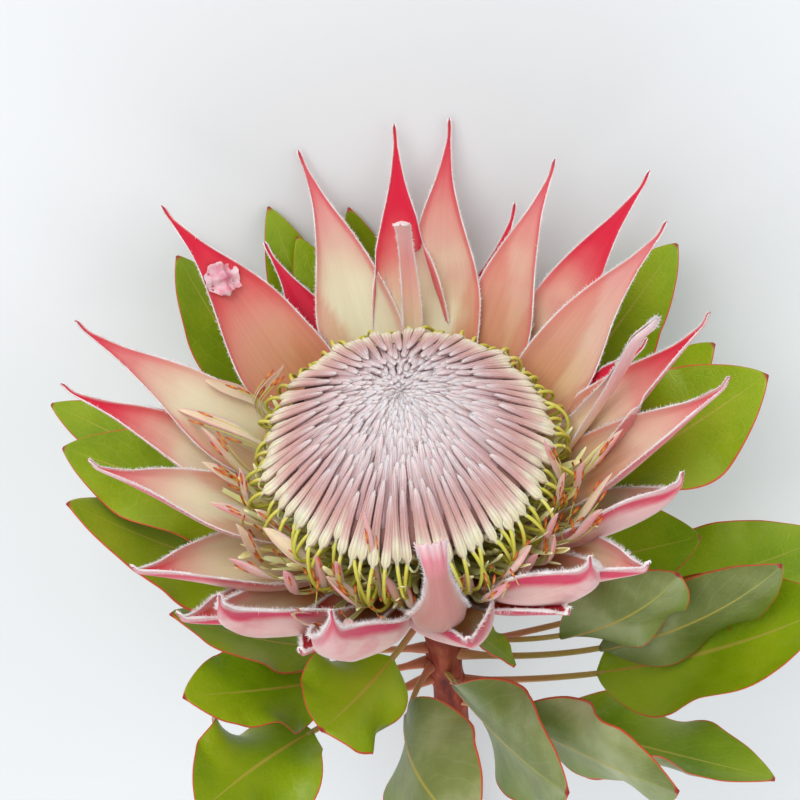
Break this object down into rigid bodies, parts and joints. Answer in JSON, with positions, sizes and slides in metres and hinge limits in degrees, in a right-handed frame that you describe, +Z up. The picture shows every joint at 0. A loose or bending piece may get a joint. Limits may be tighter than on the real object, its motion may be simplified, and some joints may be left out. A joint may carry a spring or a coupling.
{
  "type": "king protea flower",
  "caption": "Cut king protea flower lying down: a dome of closed florets in a star of pointed pink bracts, on a stem with broad waved leaves.",
  "frame": {"origin": "middle of the bounding box on the surface that the flower lies on", "axes": "+Z up from the surface; +Y along the stem, from the flower head at -Y to the cut end at +Y"},
  "size_m": [0.2478, 0.3568, 0.1524],
  "materials": {
    "bract": "silky matte",
    "floret": "velvety matte",
    "style": "matte",
    "ribbon": "velvety matte",
    "stem": "matte bark",
    "leaf": "leathery, slightly glossy"
  },
  "bodies": {
    "root": {"bracts": "bract", "closed_florets": "floret", "styles": "style", "open_florets": "ribbon", "stem": "stem", "leaf_01": "leaf", "leaf_02": "leaf", "leaf_03": "leaf", "leaf_04": "leaf", "leaf_05": "leaf", "leaf_06": "leaf", "leaf_07": "leaf", "leaf_08": "leaf", "leaf_09": "leaf", "leaf_10": "leaf", "leaf_11": "leaf", "leaf_12": "leaf", "leaf_13": "leaf", "leaf_14": "leaf", "leaf_15": "leaf", "leaf_16": "leaf", "leaf_17": "leaf", "leaf_18": "leaf", "leaf_19": "leaf", "leaf_20": "leaf", "leaf_21": "leaf", "leaf_22": "leaf", "leaf_23": "leaf", "leaf_24": "leaf"}
  },
  "joints": []
}
